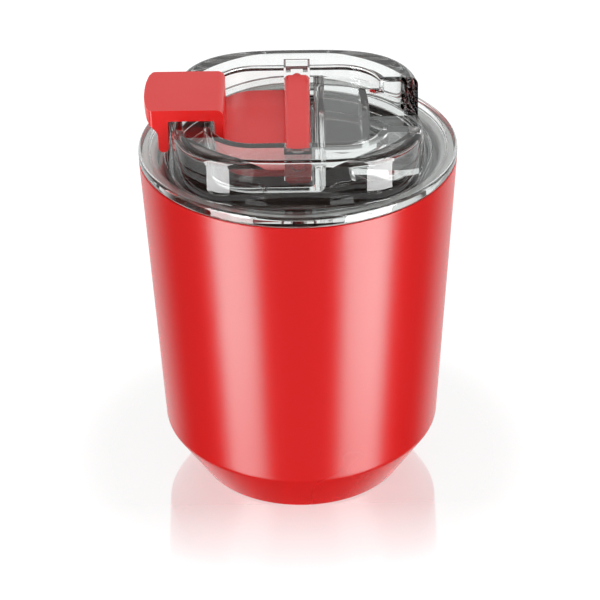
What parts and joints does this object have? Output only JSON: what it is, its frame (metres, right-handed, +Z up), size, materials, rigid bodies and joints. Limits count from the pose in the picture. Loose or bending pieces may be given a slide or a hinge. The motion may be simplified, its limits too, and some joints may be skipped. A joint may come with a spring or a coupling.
{
  "type": "insulated tumbler",
  "caption": "Red vacuum-insulated steel tumbler with a tapered base, a clear press-in drinking lid and a hinged red flip lever that seals the spout.",
  "frame": {"origin": "centre of the foot ring, on the plane the cup stands on", "axes": "+Z up the cup's axis, Y along the lever's hinge, -X towards the lever's finger tab"},
  "size_m": [0.09, 0.09, 0.1203],
  "materials": {
    "red_paint": "satin powder-like coat on steel",
    "polished_steel": "electropolished stainless steel",
    "foil": "bright foil",
    "getter_metal": "dull pressed metal",
    "pressed_steel": "mill-finish stainless steel",
    "sealing_glass": "fused glass bead, close to glossy plastic",
    "brushed_steel": "fine brushed stainless steel",
    "clear_plastic": "clear polished copolyester",
    "silicone": "translucent grey silicone",
    "red_plastic": "satin moulded polypropylene"
  },
  "bodies": {
    "cup": {"outer_shell": "red_paint", "inner_liner": "polished_steel", "heat_shield_foil": "foil", "getter": "getter_metal", "base_plate": "pressed_steel", "vacuum_seal": "sealing_glass", "base_cap": "brushed_steel"},
    "lid": {"lid_body": "clear_plastic", "lid_gasket": "silicone"},
    "lever": {"flip_lever": "red_plastic", "drink_stopper": "silicone", "vent_pad": "silicone"}
  },
  "joints": [
    {"name": "lid_lift", "type": "slide", "parent": "cup", "child": "lid", "axis": [0, 0, 1], "range_m": [0, 0.06]},
    {"name": "lever_flip", "type": "hinge", "parent": "lid", "child": "lever", "pos_m": [0, 0, 0.1115], "axis": [0, 1, 0], "range_deg": [0, 174]}
  ]
}
